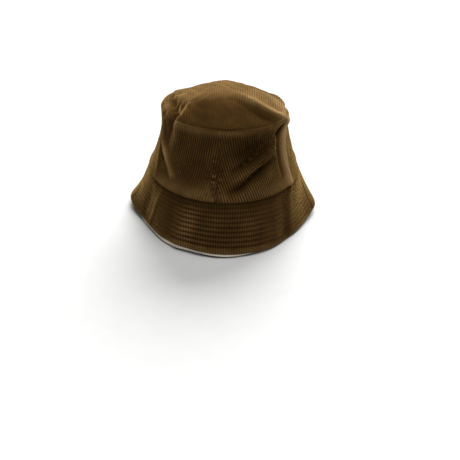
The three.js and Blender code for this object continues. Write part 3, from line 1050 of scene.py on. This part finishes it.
def lining_relief(angle, station, across):
    """Fine loose wrinkles above the sweatband and beside the label, and a dip into the seams."""
    height = station * CROWN_HEIGHT
    wrinkles = 0.35 * np.sin(23 * angle + 9 * np.sin(5 * station + 2 * angle) + 3 * np.sin(3 * angle))
    soft = 0.4 * np.sin(9 * angle + 4 * station + 1.0)
    beside_label = ramp(13, 22, np.abs(from_centre_back(angle)))
    loose = ramp(29, 40, height) * np.maximum(beside_label, ramp(52, 60, height))
    dip = 0.6 * seam_groove(angle, station, (BACK, FRONT), 1.4)
    return LINING_EASE + (wrinkles + soft) * loose + dip


def make_side_linings():
    depths = LINING_DEPTH + LINING, LINING_DEPTH + 0.1
    face, back = (level_rows(WALL_LOW, WALL_HIGH, 60, depth, 0.6) for depth in depths)
    for side, start, middle in CROWN_PANELS:
        piece = cloth_panel(f"lining_side_{side}", half_angles(start, 1.1), face, back,
                            side_grain(middle, 0.0), lining_relief, (2, 2), CREAM_CLOTH, inside=True)
        joined(piece, "cream_lining", f"crown_lining_{side}")


# The station of the tip's innermost ring, which a fan of triangles closes.
LAST_RING = 1.985


def make_tip(name, node, slot, material, top_depth, bottom_depth, relief, fine, spacing, rings,
             hidden_ratio):
    """The tip is round: an upper and an under side, each closed in the middle, joined at the edge.
    The relief is on the upper side, or on the under side when fine is "under", and the other side has a
    point for every hidden_ratio of the fine side's."""
    stations = np.linspace(1 + HALF_SEAM / TIP_RADIUS, LAST_RING, rings)
    count = int(TURN * TIP_RADIUS / spacing)
    angles = np.linspace(0, TURN, count + 1)
    parts = MeshParts()
    edges = {}
    for side, depth, step in (("upper", top_depth, 1), ("under", bottom_depth, -1)):
        under, shown = side == "under", side == fine
        ratio = 1 if shown else hidden_ratio
        kept = np.ix_(thinned(rings, ratio), thinned(count + 1, ratio))
        angle, station = (grid[kept] for grid in np.meshgrid(angles, stations))
        across, along = tip_grain(angle, station)
        lift = step * relief(angle, station, across) if shown else 0.0
        points = surface_points(angle, station, depth, lift)
        pile = shown and not under
        marks = [mark(angle, station)[:, :-1] if pile else 0.0 for mark in (tip_wear, tip_nap)]
        index = parts.add_points(points[:, :-1], *marks)
        wrapped = np.concatenate([index, index[:, :1]], 1)
        grains = np.stack([across / WALE_PITCH, along / WALE_PITCH], -1)
        size, middle = SHOWN_DISC if shown else HIDDEN_DISC
        bakes = base_points(angle, station)[..., :2] / TIP_HALF_LENGTH * size + np.array(middle)
        parts.add_faces(grid_faces(wrapped, under), grid_corners(grains, under),
                        grid_corners(bakes, under))
        hub_lift = step * relief(np.zeros(1), np.full(1, 2.0), np.zeros(1)) if shown else 0.0
        hub = parts.add_points(surface_points(np.zeros(1), np.full(1, 2.0), depth, hub_lift))[0]
        fans = index.shape[1]
        closing = ((wrapped, np.full(fans, hub)), (grains, np.zeros((fans, 2))),
                   (bakes, np.tile(middle, (fans, 1))))
        parts.add_faces(*(np.stack([ring[-1, :-1], ring[-1, 1:], centre], 1)[:, ::step]
                          for ring, centre in closing))
        edges[shown] = wrapped[0]
    add_border(parts, edges[True], edges[False], hidden_ratio, fine == "under", (0, 0), 0.01)
    return joined(finish_mesh(name, parts, material), slot, node)


def tip_relief(angle, station, across):
    brushed = 0.65 - 0.45 * tip_nap(angle, station)
    return WALE_HEIGHT * wale_relief(across) * brushed + seam_groove(angle, station, ())


def tip_lining_relief(angle, station, across):
    billow = 0.5 * np.sin(5 * angle + 3 * station) * (2 - station)
    return LINING_EASE + billow + 0.6 * seam_groove(angle, station, (), 1.4)


CORDUROY_ROLL = 1.1
BRIM_LINES = 92


def make_brim():
    """The corduroy of the brim: its rows go from the rolled edge to the root."""
    turns = np.radians(np.linspace(100, 15, 7))
    rolled = BRIM_WIDTH - CORDUROY_ROLL + CORDUROY_ROLL * np.sin(turns)
    straight = np.linspace(BRIM_WIDTH - CORDUROY_ROLL, HALF_SEAM, BRIM_LINES)
    distances = np.concatenate([rolled, straight])
    depths = np.concatenate([CORDUROY_ROLL - CORDUROY_ROLL * np.cos(turns), np.zeros(BRIM_LINES)])
    back_distances = np.minimum(distances, BRIM_WIDTH - 0.15)
    back_depths = CORDUROY + 0.2 * ramp(BRIM_WIDTH - 4, BRIM_WIDTH, distances)
    face = column(-distances / BRIM_WIDTH), column(depths)
    back = column(-back_distances / BRIM_WIDTH), column(back_depths)
    for half, start, middle in BRIM_PANELS:
        piece = cloth_panel(f"corduroy_brim_{half}", half_angles(start, BRIM_STEP), face, back,
                            brim_grain(middle), brim_relief((LEFT, RIGHT)), (7, 8), CORDUROY_CLOTH,
                            wear=brim_wear, nap=brim_nap)
        joined(piece, "corduroy", f"brim_outer_{half}")


def make_interlinings():
    edge = -(BRIM_WIDTH - INTERLINING_SETBACK) / BRIM_WIDTH
    depths = INTERLINING_DEPTH + 0.25, INTERLINING_DEPTH + INTERLINING
    face, back = (level_rows(edge, -HALF_SEAM / BRIM_WIDTH, 40, depth) for depth in depths)
    for half, start, middle in BRIM_PANELS:
        piece = cloth_panel(f"interlining_{half}", half_angles(start, 1.3), face, back,
                            brim_grain(middle), flat_relief, (3, 2), FELT)
        joined(piece, "interlining", f"brim_interlining_{half}")


def cream_roll(angle):
    """How much of the facing shows past the corduroy, in millimetres: most left of the back."""
    degrees = from_centre_back(angle)
    left = 2.6 * window(degrees, -82, -56, -8, 34)
    front = 0.8 * ramp(120, 150, np.abs(degrees))
    return left + front + 0.25 * left * np.sin(9 * angle)


def facing_path(angles, off):
    """Station and depth across the facing, from under the corduroy's edge, around the roll at the
    brim's edge and inwards to the root. off is how far the line lies inside the visible face."""
    shown = cream_roll(angles)[None, :]
    radius = 0.5 + 0.25 * shown
    edge = BRIM_WIDTH - 0.4 + 1.15 * shown
    inner = FACING_DEPTH + LINING
    middle_distance, middle_depth = edge - radius, inner - radius
    kept = np.maximum(radius - off, 0.04)
    turns = np.radians(np.linspace(180, 0, 15))[:, None]
    distance = middle_distance + kept * np.sin(turns)
    depth = middle_depth + kept * np.cos(turns)
    share = np.linspace(0, 1, 5)[:-1, None]
    start_distance = (BRIM_WIDTH - 1.4) * (1 - share) + distance[:1] * share
    start_depth = (FACING_DEPTH - 0.5 + off) * (1 - share) + depth[:1] * share
    run = np.linspace(0, 1, 76)[1:, None]
    end_distance = distance[-1:] * (1 - run) + HALF_SEAM * run
    end_depth = inner - off + 0 * end_distance
    all_distances = np.concatenate([start_distance, distance, end_distance])
    all_depths = np.concatenate([start_depth, depth, end_depth])
    return -all_distances / BRIM_WIDTH, all_depths


def facing_relief(angle, station, across):
    """The facing puffs towards the head between the stitch rows, with small gathers at the rows."""
    distance = -station * BRIM_WIDTH
    row = stitch_row_distance(distance)
    between = 0.55 * between_rows(distance)
    gathers = 0.10 * np.sin(across * 1.9 + 2 * np.sin(across * 0.13)) * bell(np.abs(row) - 1.2, 1.0)
    inside = ramp(BRIM_WIDTH - 1.5, BRIM_WIDTH - 4.5, distance) * ramp(0.5, 4.0, distance)
    return (between + gathers) * inside


def make_facings():
    for half, start, middle in BRIM_PANELS:
        angles = half_angles(start, 0.75)
        piece = cloth_panel(f"facing_{half}", angles, facing_path(angles, 0.0),
                            facing_path(angles, LINING), brim_grain(middle), facing_relief, (4, 6),
                            CREAM_CLOTH, inside=True)
        joined(piece, "cream_lining", f"brim_facing_{half}")


# How far the sweatband's ends lap over each other.
BAND_LAP = 12.0


def make_sweatband():
    """A tape right round the inside of the crown. Its ends lap over each other at the centre back."""
    low, high = (corner.z / MM / CROWN_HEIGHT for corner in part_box("sweatband"))
    lap = BAND_LAP / HEAD_HALF_LENGTH
    angles = np.linspace(-lap / 2, TURN + lap / 2, 560)
    over = ramp(TURN - lap * 0.9, TURN - lap * 0.5, angles)
    lapped = (SWEATBAND + 0.1) * over[None, :]
    lines = np.arange(26)
    rows = column(np.linspace(low, high, len(lines)))
    thin = 0.25 * np.exp(-column(np.minimum(lines, lines[::-1])) / 1.2)
    level = BAND_DEPTH + LINING_EASE
    face = rows, level + SWEATBAND - thin + lapped
    back = rows, level + 0 * rows + lapped
    piece = cloth_panel("sweatband_tape", angles, face, back, band_grain, band_relief, (5, 6),
                        BAND_CLOTH, inside=True)
    joined(piece, "sweatband_cloth", "sweatband")


def band_grain(angle, station):
    return angle * HEAD_RADIUS, station * WALL_LENGTH


def band_relief(angle, station, across):
    """The tape ripples a little, and its sewn edge is drawn in."""
    height = station * CROWN_HEIGHT
    ripple = 0.22 * np.sin(31 * angle + 2 * np.sin(7 * angle)) + 0.18 * np.sin(13 * angle + 1)
    return (ripple + 0.4) * ramp(4.0, 12.0, height)


def make_label():
    low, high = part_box("blank_label")
    bottom, top = low.z / MM / CROWN_HEIGHT, high.z / MM / CROWN_HEIGHT
    half = (high.x - low.x) / MM / 2 / HEAD_HALF_LENGTH
    angles = np.linspace(-half, half, 90)
    rows = column(np.linspace(bottom, top, 44))
    from_end = (half - np.abs(angles))[None, :] * HEAD_HALF_LENGTH
    hem = 0.35 * ramp(4.0, 3.4, from_end) + 0 * rows
    loose = ramp(0.0, 1.0, (rows - bottom) / (top - bottom)) * bell(angles[None, :], 0.1)
    lifted = LINING_EASE + 0.2 + 0.5 * loose
    face = rows, BAND_DEPTH + LABEL + lifted + hem
    back = rows, BAND_DEPTH + lifted
    piece = cloth_panel("label_blank", angles, face, back, band_grain, flat_relief, (4, 6), LABEL_CLOTH,
                        inside=True)
    joined(piece, "label_cloth", "blank_label")


# ---- Stitches ----------------------------------------------------------------------------------


# Lengths of one stitch with the gap after it.
BRIM_STITCH, BAND_STITCH = 3.0, 3.2


def row_level(angle, station):
    """How deep the cloth lies at a stitch row: less at the flanks, where the brim is less puffed."""
    return (QUILTING + ROW_DIP) * row_strength(angle) + 0.18


def tube_corners(values, axis):
    """The values at the four corners of each face of each stitch, along it and then round it."""
    corners = [values[:, :-1, :-1], values[:, 1:, :-1], values[:, 1:, 1:], values[:, :-1, 1:]]
    return np.stack(corners, axis)


def stitch_row(name, node, slot, material, station, pitch, inwards, surface, radius=0.22, dive=0.7,
               level=nothing):
    """A ring of separate stitches at one station. surface is the depth of the cloth's face there,
    and dive how far both ends of each stitch go into it."""
    ring_points = base_points(np.linspace(0, TURN, 721), station)
    length = np.linalg.norm(np.diff(ring_points, axis=0), axis=-1).sum()
    count = int(length / pitch)
    starts = np.arange(count)[:, None] * TURN / count
    share = np.linspace(0, 1, 8)
    angle = starts + (0.09 + 0.82 * share[None, :]) * TURN / count
    wander = 0.10 * np.sin(starts * 57 + 1.3) + 0.08 * np.sin(starts * 131)
    place = station + (wander + 0 * angle) / BRIM_WIDTH
    arch = 1 - (2 * share[None, :] - 1) ** 4
    out = -1 if inwards else 1
    into = surface + level(angle, place) - (radius * 0.7 * arch - dive * (1 - arch)) * out
    centres = surface_points(angle, place, into)
    normals = base_normals(angle, place)
    along = unit(np.gradient(centres, axis=1))
    sideways = np.cross(along, normals)
    ring = np.linspace(0, TURN, 7)[:-1]
    thickness = radius * np.minimum(1, 0.35 + 2.6 * np.minimum(share, 1 - share))
    reach = thickness[None, :, None, None]
    points = (centres[:, :, None] + reach * (np.cos(ring)[:, None] * normals[:, :, None]
                                             + np.sin(ring)[:, None] * sideways[:, :, None]))
    parts = MeshParts()
    index = parts.add_points(points)
    wrapped = np.concatenate([index, index[:, :, :1]], 2)
    number, around, lengthways = np.arange(count)[:, None, None], np.linspace(0, 1, 7), share[:, None]
    grain = np.stack(np.broadcast_arrays(around, lengthways + number), -1)
    bake = np.stack(np.broadcast_arrays((number + 0.06 + 0.88 * around) / count, 0.05 + 0.9 * lengthways),
                    -1)
    parts.add_faces(tube_corners(wrapped, -1).reshape(-1, 4),
                    *(tube_corners(values, -2).reshape(-1, 4, 2) for values in (grain, bake)))
    for end, order, height in ((0, 1, 0.002), (-1, -1, 0.996)):
        cap = index[:, end]
        fans = np.stack([np.stack([cap[:, 0], cap[:, k], cap[:, k + 1]], -1) for k in range(1, 5)], 1)
        fans = fans.reshape(-1, 3)[:, ::order]
        spot = np.full((len(fans), 3, 2), height)
        spot[..., 0] = np.repeat((np.arange(count) + 0.5) / count, 4)[:, None]
        parts.add_faces(fans, spot * 0, spot)
    return joined(finish_mesh(name, parts, material), slot, node)


def make_brim_stitches():
    for row in range(BRIM_ROWS):
        station = -(FIRST_ROW + row * ROW_PITCH) / BRIM_WIDTH
        number = f"{row + 1:02d}"
        stitch_row(f"stitches_top_{number}", f"brim_stitch_row_{number}", "brown_thread", BROWN_THREAD,
                   station, BRIM_STITCH, False, 0.0, level=row_level)
        stitch_row(f"stitches_under_{number}", f"brim_bobbin_row_{number}", "cream_thread",
                   CREAM_THREAD, station, BRIM_STITCH, True, FACING_DEPTH + LINING)


def make_band_stitches():
    low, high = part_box("sweatband_stitch")
    station = (low.z + high.z) / 2 / MM / CROWN_HEIGHT
    stitch_row("stitches_band", "sweatband_stitch", "brown_thread", BROWN_THREAD, station, BAND_STITCH,
               True, BAND_DEPTH + LINING_EASE + SWEATBAND - 0.1, 0.3)


make_sides()
make_tip("corduroy_tip", "crown_tip_outer", "corduroy", CORDUROY_CLOTH, 0.0, CORDUROY, tip_relief,
         "upper", TIP_STEP, 120, 3)
make_brim()
make_side_linings()
make_tip("lining_tip", "crown_tip_lining", "cream_lining", CREAM_CLOTH, LINING_DEPTH,
         LINING_DEPTH + LINING, tip_lining_relief, "under", 1.3, 60, 2)
make_interlinings()
make_facings()
make_sweatband()
make_label()
make_brim_stitches()
make_band_stitches()

# ---- Floor, light and camera -------------------------------------------------------------------


# The floor lies just under the brim's edge, and the backdrop's ring touches the floor's sides.
FLOOR_HALF = 3.0
FLOOR_HEIGHT = -61.5 * MM
BACKDROP_LOW, BACKDROP_HIGH = -0.10, 1.8


def staged(name, points, faces, material):
    """A plain mesh that isn't part of the hat."""
    mesh = bpy.data.meshes.new(name)
    mesh.from_pydata(points, [], faces)
    mesh.materials.append(material)
    item = linked(name, mesh)
    return item


def make_floor():
    corners = [(-1, -1), (1, -1), (1, 1), (-1, 1)]
    points = [(x * FLOOR_HALF, y * FLOOR_HALF, FLOOR_HEIGHT) for x, y in corners]
    n = Nodes("floor")
    speckle = n.noise(n.add("ShaderNodeNewGeometry").outputs["Position"], 60.0)
    n.set("Base Color", n.mix(speckle, (0.40, 0.40, 0.397, 1), (0.43, 0.43, 0.427, 1)))
    n.set("Roughness", 0.8)
    staged("floor", points, [(0, 1, 2, 3)], n.material)


def make_backdrop():
    """A ring of plain white paper round the floor, for low views. It lights nothing."""
    steps = 64
    turns = [TURN * k / steps for k in range(steps)]
    points = [(FLOOR_HALF * math.sin(t), FLOOR_HALF * math.cos(t), z)
              for z in (BACKDROP_LOW, BACKDROP_HIGH) for t in turns]
    faces = [(k, (k + 1) % steps, steps + (k + 1) % steps, steps + k) for k in range(steps)]
    n = Nodes("backdrop")
    paper = n.noise(n.add("ShaderNodeNewGeometry").outputs["Position"], 3.0)
    tone = n.mix(paper, (0.93, 0.93, 0.93, 1), (0.96, 0.96, 0.96, 1))
    n.set("Base Color", (0.0, 0.0, 0.0, 1))
    n.set("Specular IOR Level", 0.0)
    n.set("Emission Color", tone)
    n.set("Emission Strength", 1.0)
    backdrop = staged("backdrop", points, faces, n.material)
    backdrop.visible_diffuse = False
    backdrop.visible_glossy = False
    backdrop.visible_shadow = False


def make_sun(name, towards, strength, spread):
    """A broad soft light in the direction towards, far enough away to light the floor evenly. spread
    is how wide it looks from the hat, in degrees."""
    data = bpy.data.lights.new(name, "SUN")
    data.energy = strength
    data.angle = math.radians(spread)
    linked(name, data).rotation_euler = Vector(towards).to_track_quat("Z", "Y").to_euler()


def make_world(strength):
    world = bpy.data.worlds.new("studio")
    world.use_nodes = True
    background = world.node_tree.nodes["Background"]
    background.inputs["Color"].default_value = (1.0, 1.0, 1.0, 1)
    background.inputs["Strength"].default_value = strength
    bpy.context.scene.world = world


def make_camera():
    """Behind the hat and above it, turned a little to its right and rolled a little."""
    azimuth, elevation = math.radians(2.2), math.radians(23.6)
    distance, focal, roll = 1.048, 69.8, math.radians(1.73)
    down, aside = math.radians(4.24), math.radians(0.48)
    away = Vector((math.sin(azimuth) * math.cos(elevation), -math.cos(azimuth) * math.cos(elevation),
                   math.sin(elevation)))
    data = bpy.data.cameras.new("camera")
    data.lens = focal
    data.sensor_width = 36
    camera = linked("camera", data)
    aim = (-away).to_track_quat("-Z", "Y").to_matrix()
    turn = Matrix.Rotation(-aside, 3, "Y") @ Matrix.Rotation(-down, 3, "X") @ Matrix.Rotation(roll, 3, "Z")
    camera.matrix_world = Matrix.Translation(away * distance) @ (aim @ turn).to_4x4()
    bpy.context.scene.camera = camera


make_floor()
make_backdrop()
make_sun("back", (0.18, 1.0, 0.70), 7.0, 45)
make_sun("overhead", (0.10, -0.02, 1.0), 3.0, 40)
make_sun("front_fill", (0.1, -1.0, 0.45), 0.5, 70)
make_world(0.15)
make_camera()
bpy.context.scene.view_settings.view_transform = "Standard"
